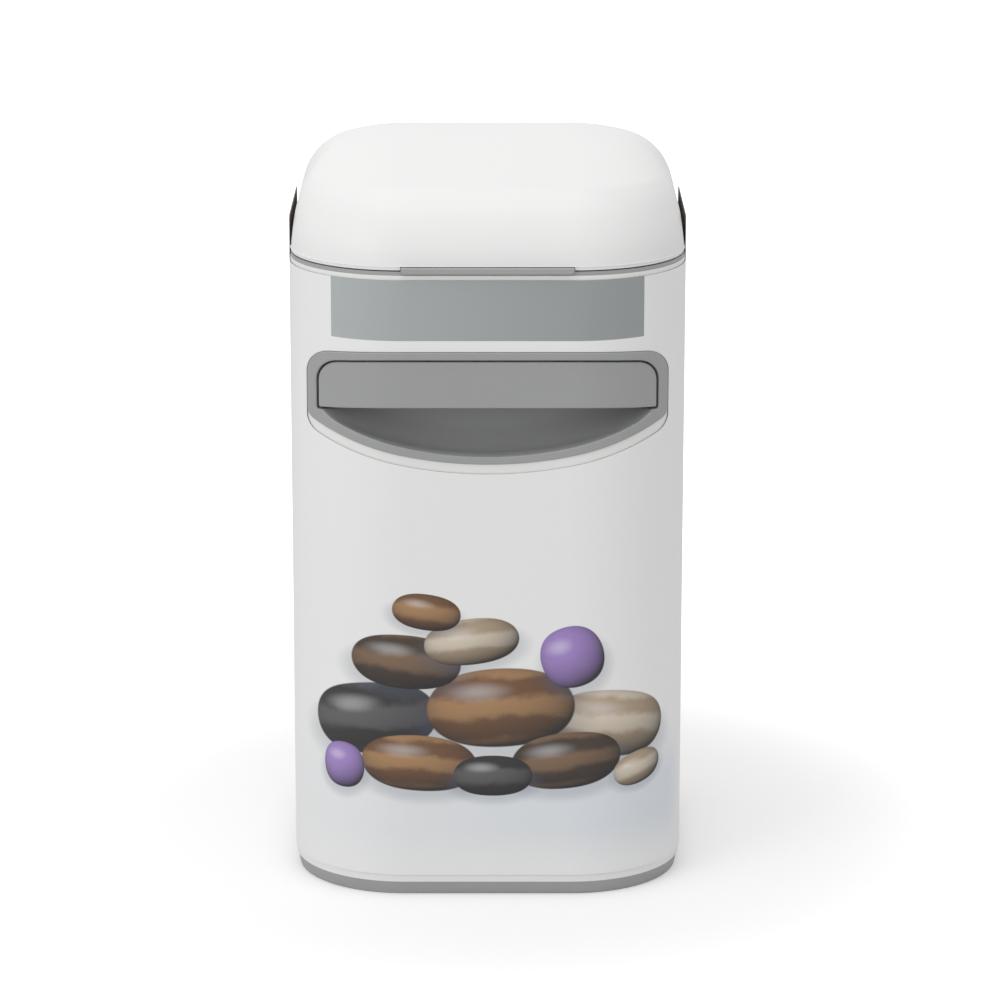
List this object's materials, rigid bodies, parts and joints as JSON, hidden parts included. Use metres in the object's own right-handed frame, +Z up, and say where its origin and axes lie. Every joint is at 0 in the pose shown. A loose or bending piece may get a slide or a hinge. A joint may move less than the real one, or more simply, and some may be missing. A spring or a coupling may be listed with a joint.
{
  "type": "litter disposal pail",
  "caption": "Rounded-square steel pail with a hinged lid over a funnel, a spring-returned pull gate that pinches the bag shut, an inner bin and a card wrap.",
  "frame": {"origin": "centre of the pail's footprint, on the floor", "axes": "+Z up, -Y towards the front with the handle, +X to the viewer's right"},
  "size_m": [0.2998, 0.3136, 0.57],
  "materials": {
    "grey_plastic": "fine satin texture",
    "handle_plastic": "fine satin texture",
    "bin_plastic": "satin",
    "tray_plastic": "satin",
    "bag_ring_plastic": "satin",
    "dark_plastic": "satin",
    "lid_plastic": "soft gloss",
    "shell_paint": "smooth powder coat",
    "steel": "drawn",
    "screw_steel": "zinc plated",
    "spring_steel": "drawn wire",
    "seal_rubber": "matte",
    "core_card": "kraft card",
    "film": "wound film",
    "card": "printed card with a light varnish"
  },
  "bodies": {
    "pail": {"base_tray": "grey_plastic", "inner_bin": "bin_plastic", "steel_shell": "shell_paint", "collar_ring": "grey_plastic", "hinge_pins": "steel", "funnel_tray": "tray_plastic", "bag_ring": "bag_ring_plastic", "clamp_housing": "dark_plastic", "rear_jaw_pad": "seal_rubber", "clamp_screws": "screw_steel", "handle_bezel": "grey_plastic", "return_spring_left": "spring_steel", "return_spring_right": "spring_steel", "wrap_sleeve": "card"},
    "slide": {"handle_grip": "handle_plastic", "gate_slide": "dark_plastic", "gate_seal": "seal_rubber", "handle_screws": "screw_steel"},
    "roll": {"roll_spindle": "dark_plastic", "roll_core": "core_card", "film_roll": "film"},
    "lid": {"lid_shell": "lid_plastic", "lid_liner": "grey_plastic", "lid_seal": "seal_rubber"}
  },
  "joints": [
    {"name": "lid_hinge", "type": "hinge", "parent": "pail", "child": "lid", "pos_m": [0, 0.156, 0.4875], "axis": [-1, 0, 0], "range_deg": [0, 100]},
    {"name": "handle_pull", "type": "slide", "parent": "pail", "child": "slide", "axis": [0, -1, 0], "range_m": [0, 0.07], "stiffness_N_per_m": 150, "springref_m": -0.03, "deforming": ["return_spring_left", "return_spring_right"]},
    {"name": "roll_spin", "type": "hinge", "parent": "pail", "child": "roll", "pos_m": [0, -0.102, 0.451], "axis": [1, 0, 0], "continuous": true}
  ]
}
